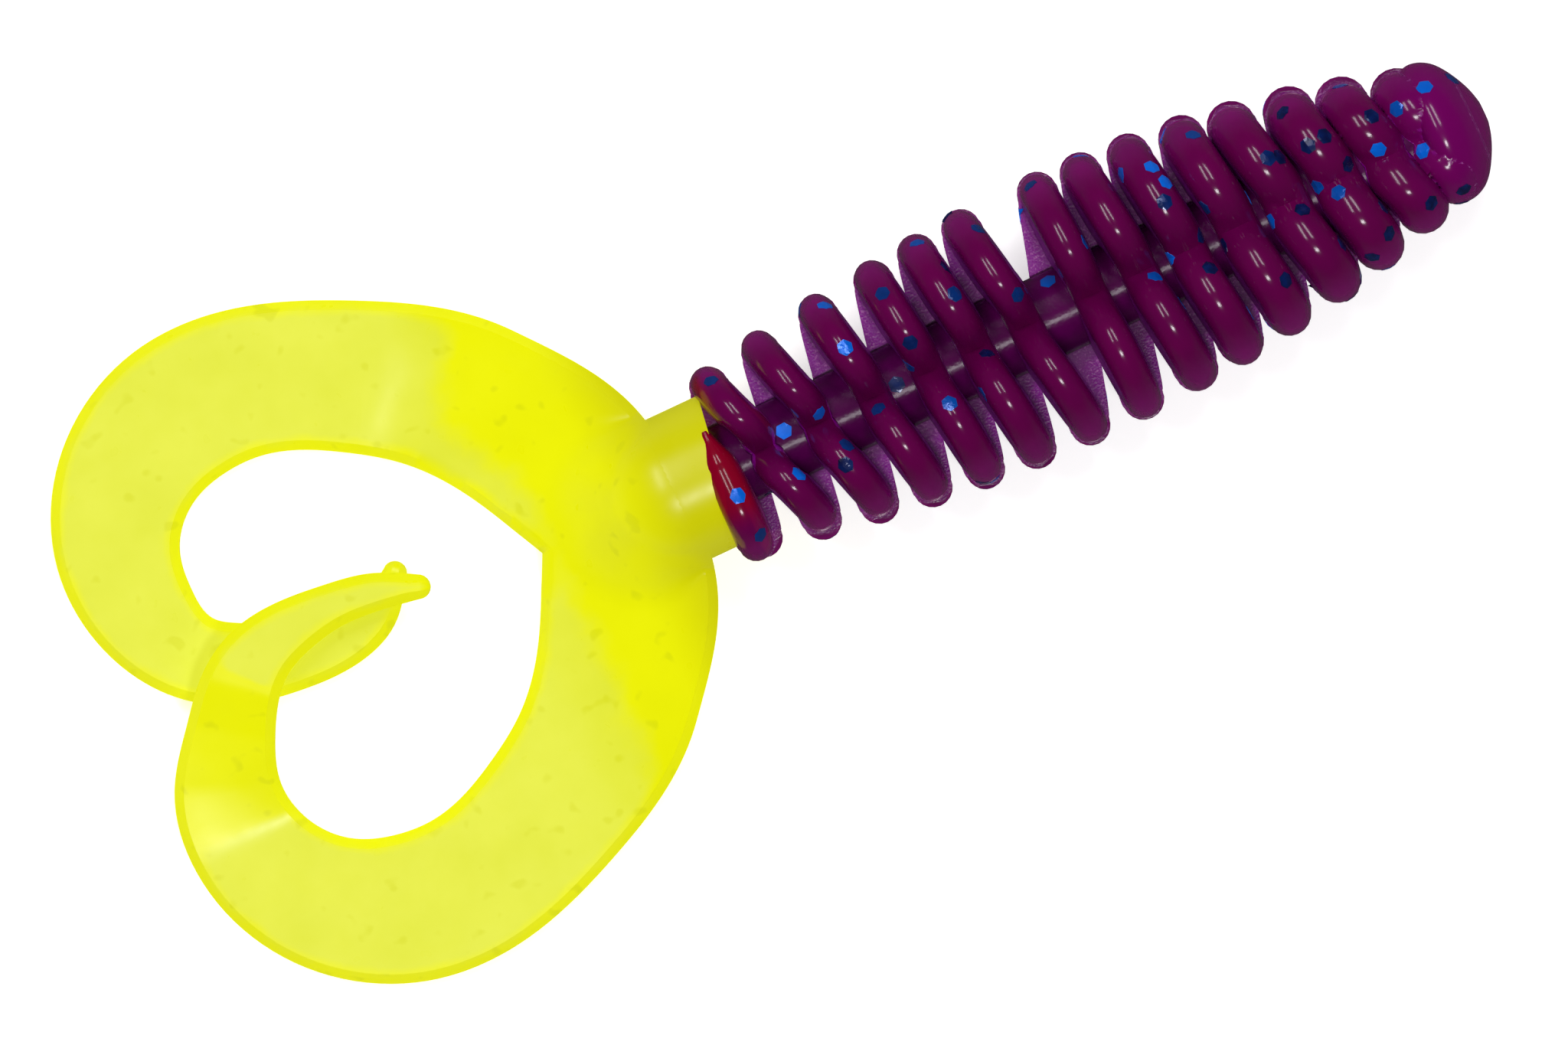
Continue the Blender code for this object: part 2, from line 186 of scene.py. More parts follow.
# Tails: the plate's slope and the centre lines, as in the solids
FORK_FRONT = JOINTS["tail_kick"]["pos_m"][0] / MM
TAIL_THICKNESS = 1.6
TAIL_LEVEL = FLOOR + TAIL_THICKNESS / 2
TAIL_LEAN = 0.03
TAIL_CHAMFER = 0.5
TAIL_LOWER_EDGE = 0.25
FORK_APEX = 7.3
SLOPE_RUN = 8.4
SLOPE_SHARPNESS = 10.0
LEFT_SLOPE_EXTRA = 3.0
LEFT_SLOPE_MIDDLE = 8.2
LEFT_SLOPE_SPREAD = 2.6
TOP_STEPS = 14
FORK_TOP_STEPS = 56
BOSS_STEEP = 0.86
BOSS_FILLET = 2.0
FILLET_RUN = 3.0
WAVE_HEIGHT = 0.035
WAVE_SCALE = 0.45
WAVE_LAYER = 3.7
# The painted sheen on the level tops: the share of the way down the slope where it starts, and how far in
# from the edges it keeps
SHEEN_START = 0.6
SHEEN_MARGIN = 1.2
TAIL_CURL = [
    (7.25, 8.5, 8.6), (9.3, 10.4, 8.3), (12.3, 12.2, 7.9), (17.5, 14.1, 7.7), (21.0, 14.0, 7.7),
    (24.8, 12.05, 7.1), (27.0, 8.4, 6.3), (26.9, 4.6, 5.4), (25.5, 2.05, 4.5),
]
LEFT_END = [(23.5, 0.9, 4.2), (21.2, 0.2, 3.5), (18.4, 0.0, 2.9), (16.2, 0.6, 2.2), (14.5, 2.1, 1.2)]
RIGHT_END = [
    (24.2, 0.3, 4.1), (22.5, -1.0, 3.6), (20.2, -1.65, 2.9), (18.0, -1.8, 2.3), (15.9, -1.6, 2.0),
    (13.7, -0.95, 1.3),
]

# Inner and outer edge of the fork from its middle to the root of a tail, as (behind, aside)
FORK_INNER = [(7.25, 0.0), (7.62, 0.75), (8.0, 1.5), (8.55, 2.6)]
FORK_OUTER = [(-0.6, 0.0), (-0.6, 3.2), (0.3, 6.2), (3.4, 10.6)]
FORK_EDGE = FORK_FRONT - FORK_OUTER[0][0]
FORK_START = -len(FORK_INNER)
LIFT_START, LIFT_END = 6.25, 9.1
LIFT_SHARPNESS = 45.0
# Where the painted sheen is left off the right tail's sloped ramp, and how softly it fades there
RAMP_START, RAMP_END = 6.2, 9.5
RAMP_FADE = 0.3
CROSSING_LIFT = 2.6
CUTS = {"root": (-1.0, 1.8), "bend": (1.8, 4.9), "tip": (4.9, None)}
BLENDS = {"root": (-0.4, 1.2), "bend": (2.6, 4.6), "tip": (5.4, 7.0)}
RINGS_PER_STATION = 10
FORK_RINGS_PER_STATION = 16
TIP_STEPS = 5
TIP_SWEEP = 0.48 * math.pi
TIP_THINNING = 0.6

# Camera and light
CAMERA_TARGET = (-41.17, -3.82)
CAMERA_RIGHT = (0.90542, -0.42452, 0.0)
CAMERA_HEIGHT = 1000.0
FRAME_WIDTH = 79.9
SENSOR_WIDTH = 36
LIGHT_TARGET = (-38, 0, 0)
LIGHT_DISTANCE = 600.0
FLOOR_REACH = 2000
FLOOR_GAP = 0.02


def smooth(t):
    """Smooth step from 0 to 1."""
    t = min(max(t, 0.0), 1.0)
    return t * t * (3 - 2 * t)


def soft_rise(share, sharpness):
    """A straight rise from 0 to 1 with level ends and round corners."""
    start, end = (math.log1p(math.exp(sharpness * (share - corner))) for corner in (0, 1))
    return (start - end) / sharpness


class Spline:
    """A smooth curve through points, read at a place counted in points."""

    def __init__(self, points):
        self.points = np.array([tuple(point) for point in points], float)
        steps = np.linalg.norm(np.diff(self.points[:, :2], axis=0), axis=1)
        count = len(self.points)
        self.steps = steps
        matrix = np.eye(count)
        right = np.zeros_like(self.points)
        slopes = np.diff(self.points, axis=0) / steps[:, None]
        for i in range(1, count - 1):
            matrix[i, i - 1:i + 2] = steps[i - 1], 2 * (steps[i - 1] + steps[i]), steps[i]
            right[i] = 6 * (slopes[i] - slopes[i - 1])
        self.bends = np.linalg.solve(matrix, right)

    def __call__(self, place):
        i = min(max(int(place), 0), len(self.steps) - 1)
        step, t = self.steps[i], place - i
        rest = 1 - t
        bend = (rest**3 - rest) * self.bends[i] + (t**3 - t) * self.bends[i + 1]
        return rest * self.points[i] + t * self.points[i + 1] + bend * step**2 / 6


def new_object(name, mesh):
    """Link a mesh into the scene as an object, with its places at rest kept for the materials."""
    layer = mesh.attributes.get("place") or mesh.attributes.new("place", "FLOAT_VECTOR", "POINT")
    layer.data.foreach_set("vector", [number for vertex in mesh.vertices for number in vertex.co])
    obj = bpy.data.objects.new(name, mesh)
    bpy.context.scene.collection.objects.link(obj)
    return obj


def mesh_from(name, points, faces, **values):
    """Make a mesh from millimetre points, with its faces pointing out and values on its corners."""
    mesh = bpy.data.meshes.new(name)
    mesh.from_pydata([tuple(Vector(point) * MM) for point in points], [], faces)
    for key, numbers in values.items():
        mesh.attributes.new(key, "FLOAT", "POINT").data.foreach_set("value", numbers)
    bm = bmesh.new()
    bm.from_mesh(mesh)
    bmesh.ops.remove_doubles(bm, verts=bm.verts, dist=0.002 * MM)
    bmesh.ops.recalc_face_normals(bm, faces=bm.faces)
    bm.to_mesh(mesh)
    bm.free()
    return mesh


def skin(rings):
    """Points and faces of a run of rings, capped at both ends."""
    count = len(rings[0])
    points = [point for ring in rings for point in ring]
    faces = []
    for r in range(len(rings) - 1):
        for i in range(count):
            j = (i + 1) % count
            faces.append((r * count + i, r * count + j, (r + 1) * count + j, (r + 1) * count + i))
    faces.append(tuple(range(count)))
    faces.append(tuple(range((len(rings) - 1) * count, len(rings) * count)))
    return points, faces


def circle(count):
    """Points of a unit circle as (cosine, sine)."""
    angles = [2 * math.pi * i / count for i in range(count)]
    return [(math.cos(angle), math.sin(angle)) for angle in angles]


def turn_size(turn):
    """Half width and height of the rib at a turn counted from the rear."""
    if turn < WIDEST_TURN:
        end, away = REAR_SIZE, (WIDEST_TURN - turn) / WIDEST_TURN
    else:
        end, away = HEAD_SIZE, (turn - WIDEST_TURN) / (TURNS - 1 - WIDEST_TURN)
    return [middle - (middle - low) * away**2 for middle, low in zip(MID_SIZE, end)]


def core_radius(x):
    """Radius of the core, which is thicker towards the head."""
    return CORE_RADIUS + HEAD_CORE_GROWTH * smooth((x - HEAD_CORE[0]) / (HEAD_CORE[1] - HEAD_CORE[0]))


def on_core(place):
    """Whether a place in metres lies on the core's surface."""
    return abs(math.hypot(place.y, place.z) / MM - core_radius(place.x / MM)) < CORE_TOLERANCE


def crest_side(width, apex, height, fall):
    """Crest of one side of a half rib as (aside, up), from its tip over the lobe to the middle."""
    side = [Vector((width, -PARTING_OVERLAP))]
    for i in range(ARC_STEPS + 1):
        angle = math.pi / 2 * i / ARC_STEPS
        side.append(Vector((apex + (width - apex) * math.cos(angle), height * math.sin(angle))))
    for i in range(1, SADDLE_STEPS + 1):
        share = i / SADDLE_STEPS
        side.append(Vector((apex * (1 - share), height * math.sqrt(1 - (share / fall)**2))))
    return side


def crest_line(width, apex, height, fall):
    """Crest of a half rib from right to left as (point, outward direction)."""
    side = crest_side(width, apex, height, fall)
    line = [Vector((-point.x, point.y)) for point in side] + side[-2::-1]
    found = []
    for i, point in enumerate(line):
        along = line[min(i + 1, len(line) - 1)] - line[max(i - 1, 0)]
        out = Vector((-along.y, along.x)).normalized()
        if i in (0, 1, len(line) - 2, len(line) - 1):
            out = Vector((math.copysign(1, point.x), 0))
        found.append((point, out))
    return found


def rib_section(x, point, out, radius):
    """Section of a half rib at a crest point, as (place, height from 0 to 1), from the parting plane up."""
    shoulder = point - out * radius
    shoulder.y = max(shoulder.y, -PARTING_OVERLAP)
    foot = Vector((shoulder.x, -PARTING_OVERLAP))
    flank = []
    for i in range(FLANK_STEPS):
        t = i / FLANK_STEPS
        half = radius + DRAFT * (1 - t) * (shoulder.y - foot.y)
        flank.append((half, foot.lerp(shoulder, t), FLANK_FOOT + FLANK_RISE * t))
    ring = [(Vector((x - half, spot.x, spot.y)), t) for half, spot, t in flank]
    for i in range(CREST_STEPS + 1):
        angle = math.pi * (i / CREST_STEPS - 0.5)
        spot = shoulder + out * radius * math.cos(angle)
        ring.append((Vector((x + radius * math.sin(angle), spot.x, spot.y)), 1.0))
    return ring + [(Vector((x + half, spot.x, spot.y)), t) for half, spot, t in reversed(flank)]


def right_tip(turn):
    """Place of a right rib tip along the trunk."""
    return RIGHT_TIPS[0] + turn * PITCH + RIGHT_LEAN[min(max(turn, 0), TURNS)]


def left_tip(turn):
    """Place of a left rib tip along the trunk."""
    return RIGHT_TIPS[0] + (turn + 0.5) * PITCH + LEFT_LEAN[min(max(turn, 0), TURNS - 1)]


def half_rib(turn, upper):
    """Sections of one half rib, from right to left, as (place, height, reach)."""
    half_width, height = turn_size(min(max(turn + (0.25 if upper else -0.25), 0), TURNS - 1))
    x_left, x_right = left_tip(turn), right_tip(turn + 1 if upper else turn)
    fatness = smooth((turn - HEAD_START) / (TURNS - 1 - HEAD_START))
    fall = FIRST_FALL if turn < 0 else INNER_FALL + (HEAD_FALL - INNER_FALL) * fatness
    inset = UPPER_INSET * (1 - fatness) if upper and turn >= 0 else 0.0
    half_width -= inset
    sections = []
    for point, out in crest_line(half_width, LOBE_APEX * half_width, height, fall):
        radius = CREST_RADIUS + (HEAD_CREST_RADIUS - CREST_RADIUS) * fatness - inset
        x = x_right + (x_left - x_right) * (point.x / half_width + 1) / 2
        if turn < 0:
            if point.x > FIRST_END:
                break
            radius = min(FIRST_RADII[0] + FIRST_GROWTH * (FIRST_END - point.x), FIRST_RADII[1])
            x = FIRST_X
            point.y *= 1 - FIRST_DROP * smooth(point.x / FIRST_END)
        ring = []
        for spot, t in rib_section(x, point, out, radius):
            spot.z *= 1 if upper else -1
            ring.append((spot, t, abs(point.x) / half_width))
        sections.append(ring)
    return sections


def trunk_mesh():
    """The whole trunk as one closed skin: a continuous slanted rib round a core, with a round head."""
    ribs = [half_rib(-1, True)]
    for turn in range(TURNS):
        ribs += [half_rib(turn, False), half_rib(turn, True)]
    bm = bmesh.new()
    for sections in ribs:
        bm.from_mesh(mesh_from("rib", *skin([[spot for spot, _, _ in ring] for ring in sections])))
    fin_mesh = bpy.data.meshes.new("fin")
    bm.to_mesh(fin_mesh)
    bm.free()
    fin = new_object("fin", fin_mesh)
    core_x = np.arange(*CORE_ENDS, CORE_STEP)
    round_ring = circle(CORE_SIDES)
    core_rings = [[(x, core_radius(x) * c, core_radius(x) * s) for c, s in round_ring] for x in core_x]
    core = new_object("core", mesh_from("core", *skin(core_rings)))
    profile = Spline(DOME)
    steps = [i / DOME_RINGS for i in range((len(DOME) - 1) * DOME_RINGS + 1)]
    dome_rings = [[(x, r * c, r * s) for c, s in round_ring] for x, r in map(profile, steps)]
    dome = new_object("dome", mesh_from("dome", *skin(dome_rings)))
    for other in (core, dome):
        modifier = fin.modifiers.new("join", "BOOLEAN")
        modifier.operation = "UNION"
        modifier.solver = "EXACT"
        modifier.use_self = True
        modifier.object = other
    graph = bpy.context.evaluated_depsgraph_get()
    graph.update()
    mesh = bpy.data.meshes.new_from_object(fin.evaluated_get(graph))
    for obj in (fin, core, dome):
        bpy.data.objects.remove(obj)
    marks = [point for sections in ribs for ring in sections for point in ring]
    marks += [(Vector(spot), 1.0, 0.5) for ring in dome_rings for spot in ring]
    mark_ribs(mesh, marks)
    for face in mesh.polygons:
        corners = [mesh.vertices[index].co for index in face.vertices]
        face.material_index = 1 if all(map(on_core, corners)) and corners[0].x < DOME[0][0] * MM else 0
    for vertex in mesh.vertices:
        vertex.co.z = max(vertex.co.z, FLOOR * MM)
    return mesh


def mark_ribs(mesh, points):
    """Note on each corner how far up its rib it is and how far out, for the material and its painted light
    and shade; corners on the core or away from the ribs get 0, which paints shade at the rib roots.
    """
    tree = kdtree.KDTree(len(points))
    for i, (spot, _, _) in enumerate(points):
        tree.insert(spot * MM, i)
    tree.balance()
    crest = mesh.attributes.new("crest", "FLOAT", "POINT")
    reach = mesh.attributes.new("reach", "FLOAT", "POINT")
    for vertex in mesh.vertices:
        _, i, distance = tree.find(vertex.co)
        near = 1 - smooth(distance / (MARK_REACH * MM))
        if on_core(vertex.co):
            near = 0
        crest.data[vertex.index].value = points[i][1] * near
        reach.data[vertex.index].value = points[i][2] * near


def slices(mesh, name, planes):
    """Cut a mesh across X at the planes into open slices that share their cut edges and their shading."""
    mesh.shade_smooth()
    mesh.set_sharp_from_angle(angle=math.radians(TRUNK_SHARP_ANGLE))
    normals = np.empty(len(mesh.loops) * 3, np.float32)
    mesh.corner_normals.foreach_get("vector", normals)
    layer = mesh.attributes.new("shading", "FLOAT_VECTOR", "CORNER")
    layer.data.foreach_set("vector", normals)
    edges = [min(planes) - 1] + sorted(planes) + [max(planes) + 1]
    found = []
    whole = bmesh.new()
    whole.from_mesh(mesh)
    for plane in sorted(planes):
        geom = whole.verts[:] + whole.edges[:] + whole.faces[:]
        bmesh.ops.bisect_plane(whole, geom=geom, dist=1e-9, plane_co=(plane, 0, 0), plane_no=(1, 0, 0))
    for number, (low, high) in enumerate(zip(edges, edges[1:])):
        bm = whole.copy()
        outside = [face for face in bm.faces if not low < face.calc_center_median().x < high]
        bmesh.ops.delete(bm, geom=outside, context="FACES")
        piece = bpy.data.meshes.new(f"{name}_{number:02d}")
        bm.to_mesh(piece)
        bm.free()
        kept = np.empty(len(piece.loops) * 3, np.float32)
        piece.attributes["shading"].data.foreach_get("vector", kept)
        piece.attributes.remove(piece.attributes["shading"])
        kept = kept.reshape(-1, 3)
        kept /= np.maximum(np.linalg.norm(kept, axis=1, keepdims=True), 1e-6)
        piece.normals_split_custom_set(kept.tolist())
        found.append(piece)
    whole.free()
    return found


class Nodes:
    """A new material and short ways to add nodes to it."""

    def __init__(self, name):
        self.material = bpy.data.materials.new(name)
        self.material.use_nodes = True
        self.tree = self.material.node_tree
        self.shader = self.tree.nodes["Principled BSDF"]
        place = self.tree.nodes.new("ShaderNodeAttribute")
        place.attribute_name = "place"
        self.place = place.outputs["Vector"]

    def link(self, source, target):
        """Join two sockets."""
        self.tree.links.new(source, target)

    def fill(self, socket, value):
        """Give an input a value or join another socket to it."""
        if isinstance(value, bpy.types.NodeSocket):
            self.link(value, socket)
        else:
            socket.default_value = value

    def add(self, kind, **inputs):
        """Add a node and fill its inputs with values or other sockets."""
        node = self.tree.nodes.new(kind)
        for name, value in inputs.items():
            self.fill(node.inputs[name.replace("_", " ")], value)
        return node

    def attribute(self, name):
        """A value stored on the mesh."""
        node = self.tree.nodes.new("ShaderNodeAttribute")
        node.attribute_name = name
        return node.outputs["Fac"]

    def along(self, axis, span):
        """Rise from 0 to 1 between two places at rest along one axis."""
        place = self.add("ShaderNodeSeparateXYZ", Vector=self.place).outputs[axis]
        return self.ramp(place, span[0] * MM, span[1] * MM)

    def grain(self, scale, detail=2.0):
        """Noise that stays with the piece as it bends."""
        return self.add("ShaderNodeTexNoise", Vector=self.place, Scale=scale, Detail=detail).outputs["Fac"]

    def ramp(self, value, low, high):
        """Map a value from low..high to 0..1 smoothly."""
        node = self.add("ShaderNodeMapRange", Value=value, From_Min=low, From_Max=high)
        node.interpolation_type = "SMOOTHSTEP"
        return node.outputs["Result"]

    def math(self, operation, first, second):
        """Arithmetic on two values."""
        node = self.tree.nodes.new("ShaderNodeMath")
        node.operation = operation
        for socket, value in zip(node.inputs, (first, second)):
            self.fill(socket, value)
        return node.outputs[0]

    def mix(self, share, first, second):
        """Mix two colours."""
        node = self.tree.nodes.new("ShaderNodeMix")
        node.data_type = "RGBA"
        for number, value in ((0, share), (6, first), (7, second)):
            self.fill(node.inputs[number], value)
        return node.outputs[2]

    def blend(self, share, first, second):
        """Mix two values."""
        node = self.add("ShaderNodeMapRange", Value=share, To_Min=first, To_Max=second)
        return node.outputs["Result"]

    def bump(self, height, strength, distance):
        """Small relief on the shader's surface."""
        node = self.add("ShaderNodeBump", Height=height, Strength=strength, Distance=distance)
        self.link(node.outputs["Normal"], self.shader.inputs["Normal"])


def trunk_material():
    """Translucent purple soft plastic: dark magenta crests and a red rear, with painted light in the violet
    flanks and lighter rib tips lit through the thin ribs, painted shade at the rib roots and painted glints
    on the rough flanks.
    """
    nodes = Nodes("purple_plastic")
    crest = nodes.ramp(nodes.attribute("crest"), 0.8, 1.0)
    flank = nodes.ramp(nodes.attribute("crest"), 0.05, 0.45)
    rim = nodes.ramp(nodes.attribute("reach"), 0.7, 1.0)
    # Painted shade and light: dark at the rib roots next to the core, vivid violet on the flanks as if lit
    # through the thin ribs
    colour = nodes.mix(flank, (0.055, 0.0003, 0.050, 1), (0.30, 0.0005, 0.34, 1))
    colour = nodes.mix(crest, colour, (0.145, 0.0002, 0.074, 1))
    # Painted light: the rib tips lighter and pinker, as if lit through the thin plastic
    colour = nodes.mix(nodes.math("MULTIPLY", rim, 0.7), colour, (0.27, 0.002, 0.19, 1))
    cloud = nodes.ramp(nodes.grain(420.0), 0.3, 0.7)
    colour = nodes.mix(nodes.math("MULTIPLY", cloud, 0.25), colour, (0.09, 0.0003, 0.055, 1))
    rear = nodes.math("MULTIPLY", nodes.along("X", RED_X), nodes.along("Y", RED_Y))
    rear = nodes.math("MULTIPLY", rear, nodes.along("Z", RED_Z))
    colour = nodes.mix(rear, colour, (0.24, 0.0, 0.020, 1))
    head = nodes.along("X", HEAD_TINT_X)
    colour = nodes.mix(nodes.math("MULTIPLY", head, 0.85), colour, (0.19, 0.0003, 0.13, 1))
    matt = nodes.math("SUBTRACT", flank, crest)
    # Painted glints: light specks on the rough flanks and parting faces
    painted_glint = nodes.math("MULTIPLY", nodes.ramp(nodes.grain(7000.0, 1.0), 0.58, 0.70), matt)
    colour = nodes.mix(nodes.math("MULTIPLY", painted_glint, 0.6), colour, (0.55, 0.16, 0.50, 1))
    nodes.link(colour, nodes.shader.inputs["Base Color"])
    nodes.link(nodes.blend(crest, 0.36, 0.15), nodes.shader.inputs["Roughness"])
    nodes.bump(nodes.math("MULTIPLY", nodes.grain(9000.0, 0.0), matt), 0.45, 0.00005)
    nodes.shader.inputs["Transmission Weight"].default_value = 0.22
    nodes.shader.inputs["Specular IOR Level"].default_value = 0.3
    nodes.shader.inputs["IOR"].default_value = 1.45
    return nodes.material


def core_material():
    """The darker, duller purple of the thick core between the ribs."""
    nodes = Nodes("purple_core")
    cloud = nodes.ramp(nodes.grain(700.0), 0.3, 0.7)
    colour = nodes.mix(cloud, (0.052, 0.0003, 0.042, 1), (0.075, 0.0003, 0.058, 1))
    nodes.link(colour, nodes.shader.inputs["Base Color"])
    nodes.link(nodes.blend(nodes.grain(2500.0), 0.18, 0.24), nodes.shader.inputs["Roughness"])
    nodes.bump(nodes.grain(6000.0, 0.0), 0.1, 0.00005)
    nodes.shader.inputs["Specular IOR Level"].default_value = 0.12
    return nodes.material


def tail_material():
    """Fluorescent yellow soft plastic with faint clouds, small pits with painted shade, a painted sheen
    lightening the level tops, painted shade towards the trunk and a painted glow.
    """
    nodes = Nodes("yellow_plastic")
    cloud = nodes.ramp(nodes.grain(160.0, 3.0), 0.35, 0.7)
    colour = nodes.mix(cloud, (0.44, 0.46, 0.0005, 1), (0.48, 0.50, 0.001, 1))
    # Painted sheen: the level tops mixed towards a lighter, mottled yellow with ragged edges
    ragged = nodes.math("MULTIPLY", nodes.grain(500.0, 4.0), 0.8)
    pale = nodes.ramp(nodes.math("ADD", nodes.attribute("pale"), ragged), 0.55, 1.25)
    mottled_sheen = nodes.mix(nodes.grain(350.0, 3.0), (0.33, 0.38, 0.035, 1), (0.43, 0.47, 0.072, 1))
    colour = nodes.mix(pale, colour, mottled_sheen)
    # Pits: sunk by the bump, and darkened in colour as painted shade
    pits = nodes.ramp(nodes.grain(900.0, 1.0), 0.64, 0.76)
    colour = nodes.mix(nodes.math("MULTIPLY", pits, 0.5), colour, (0.26, 0.29, 0.001, 1))
    # Painted shade: the stub and boss darken to olive towards the trunk, in colour and in glow
    stub = nodes.along("X", STUB_SHADE_X)
    colour = nodes.mix(stub, colour, (0.30, 0.29, 0.0005, 1))
    nodes.link(colour, nodes.shader.inputs["Base Color"])
    # Painted glow: the emission stands for the plastic's real fluorescence and for light spread inside it,
    # and flattens its shading
    glow = nodes.mix(stub, (0.86, 0.865, 0.0, 1), (0.66, 0.66, 0.0, 1))
    nodes.link(glow, nodes.shader.inputs["Emission Color"])
    nodes.shader.inputs["Emission Strength"].default_value = 0.515
    nodes.link(nodes.blend(nodes.grain(900.0), 0.24, 0.36), nodes.shader.inputs["Roughness"])
    nodes.bump(pits, -0.4, 0.0002)
    nodes.shader.inputs["Specular IOR Level"].default_value = 0.3
    return nodes.material


def flake_material():
    """Blue glitter, from bright flakes at the surface to deep navy ones."""
    nodes = Nodes("blue_glitter")
    shade = nodes.ramp(nodes.attribute("shade"), 0.1, 0.95)
    glint = nodes.grain(2600.0, 0.0)
    colour = nodes.mix(shade, (0.002, 0.0005, 0.022, 1), (0.0, 0.17, 0.90, 1))
    colour = nodes.mix(nodes.math("MULTIPLY", glint, 0.35), colour, (0.0, 0.05, 0.35, 1))
    nodes.link(colour, nodes.shader.inputs["Base Color"])
    nodes.shader.inputs["Metallic"].default_value = 0.15
    nodes.shader.inputs["Roughness"].default_value = 0.2
    return nodes.material


def flake(tree, spot, normal, turn):
    """Points and faces of one six-sided flake that lies on the trunk's skin."""
    aside = normal.orthogonal().normalized()
    aside.rotate(Matrix.Rotation(turn, 3, normal))
    other = normal.cross(aside)
    flat = math.cos(math.pi / 6)
    places = [Vector((0, 0, 0))]
    for scale in FLAKE_RINGS:
        for i, (c, s) in enumerate(circle(FLAKE_SIDES)):
            reach = FLAKE_RADIUS * scale * (flat if i % 2 else 1.0)
            places.append((aside * c + other * s) * reach * MM)
    top, bottom = [], []
    for place in places:
        found, out, _, _ = tree.find_nearest(spot + place)
        top.append(found + out * FLAKE_RISE * MM)
        bottom.append(found - out * FLAKE_RISE * MM)
    faces = []
    for i in range(FLAKE_SIDES):
        j = (i + 1) % FLAKE_SIDES
        faces.append((0, 1 + i, 1 + j))
        for ring in range(len(FLAKE_RINGS) - 1):
            near, far = 1 + ring * FLAKE_SIDES, 1 + (ring + 1) * FLAKE_SIDES
            faces.append((near + i, far + i, far + j, near + j))
    under = [tuple(len(top) + index for index in reversed(face)) for face in faces]
    rim = len(top) - FLAKE_SIDES
    walls = []
    for i in range(FLAKE_SIDES):
        j = (i + 1) % FLAKE_SIDES
        walls.append((rim + i, len(top) + rim + i, len(top) + rim + j, rim + j))
    return [point / MM for point in top + bottom], faces + under + walls


def level_spot(tree, x, y):
    """Place and normal on the trunk's top where a flake lies without a fold, at or near a place."""
    for move_x, move_y in FLAKE_MOVES:
        start = Vector((x + move_x, y + move_y, OUTSIDE)) * MM
        spot, normal, _, _ = tree.ray_cast(start, Vector((0, 0, -1)))
        if spot is None:
            continue
        aside = normal.orthogonal().normalized()
        other = normal.cross(aside)
        rim = [spot + (aside * c + other * s) * FLAKE_RADIUS * MM for c, s in circle(FLAKE_SIDES)]
        if min(tree.find_nearest(place)[1].dot(normal) for place in rim) > FLAKE_FOLD:
            return spot, normal
    return None


def place_flakes(mesh):
    """Flakes on the trunk as (points, faces, brightness): the seen ones, then scattered ones."""
    tree = BVHTree.FromPolygons([v.co for v in mesh.vertices], [p.vertices for p in mesh.polygons])
    rng = random.Random(7)
    found = []
    for x, y, shade in FLAKES:
        spot = level_spot(tree, x, y)
        if spot is not None:
            found.append((*flake(tree, *spot, rng.uniform(0, 1)), shade))
    for _ in range(SCATTERED_FLAKES):
        angle = rng.uniform(*[math.pi * turns for turns in SCATTER_HALF_TURNS])
        out = Vector((0, math.cos(angle), math.sin(angle)))
        start = Vector((rng.uniform(*SCATTER_SPAN), OUTSIDE * out.y, OUTSIDE * out.z)) * MM
        spot, normal, _, _ = tree.ray_cast(start, -out)
        if spot is not None:
            found.append((*flake(tree, spot, normal, rng.uniform(0, 1)), rng.random() ** 2))
    return found


def flake_mesh(name, flakes, material):
    """One mesh of several flakes, each with its own brightness."""
    points, faces, shades = [], [], []
    for spots, sides, shade in flakes:
        faces += [tuple(len(points) + index for index in side) for side in sides]
        points += spots
        shades += [shade] * len(spots)
    mesh = bpy.data.meshes.new(name)
    mesh.from_pydata([tuple(point * MM) for point in points], [], faces)
    layer = mesh.attributes.new("shade", "FLOAT", "POINT")
    layer.data.foreach_set("value", shades)
    mesh.materials.append(material)
    return mesh


def make_trunk():
    """The trunk's slices with their flakes, fixed in place, with the solids they stand for hidden."""
    planes = [(tip + PITCH / 2) * MM for tip in RIGHT_TIPS[:-1]]
    whole = trunk_mesh()
    flakes = place_flakes(whole)
    material, core, glitter = trunk_material(), core_material(), flake_material()
    bodies = ["tail_stub"] + [f"trunk_turn_{TURNS - 1 - i:02d}" for i in range(TURNS - 1)] + ["head"]
    for number, mesh in enumerate(slices(whole, "trunk_slice", planes)):
        mesh.materials.append(material)
        mesh.materials.append(core)
        tip = RIGHT_TIPS[number]
        low = tip - PITCH / 2 if number else -100
        high = tip + PITCH / 2 if number < TURNS - 1 else 100
        pieces = [new_object(f"trunk_slice_{number:02d}", mesh)]
        mine = [item for item in flakes if low <= item[0][0].x < high]
        if mine:
            name = f"glitter_{number:02d}"
            pieces.append(new_object(name, flake_mesh(name, mine, glitter)))
        rear, front = bodies[number], bodies[number + 1]
        for obj in pieces:
            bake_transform(obj)
        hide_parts(front)


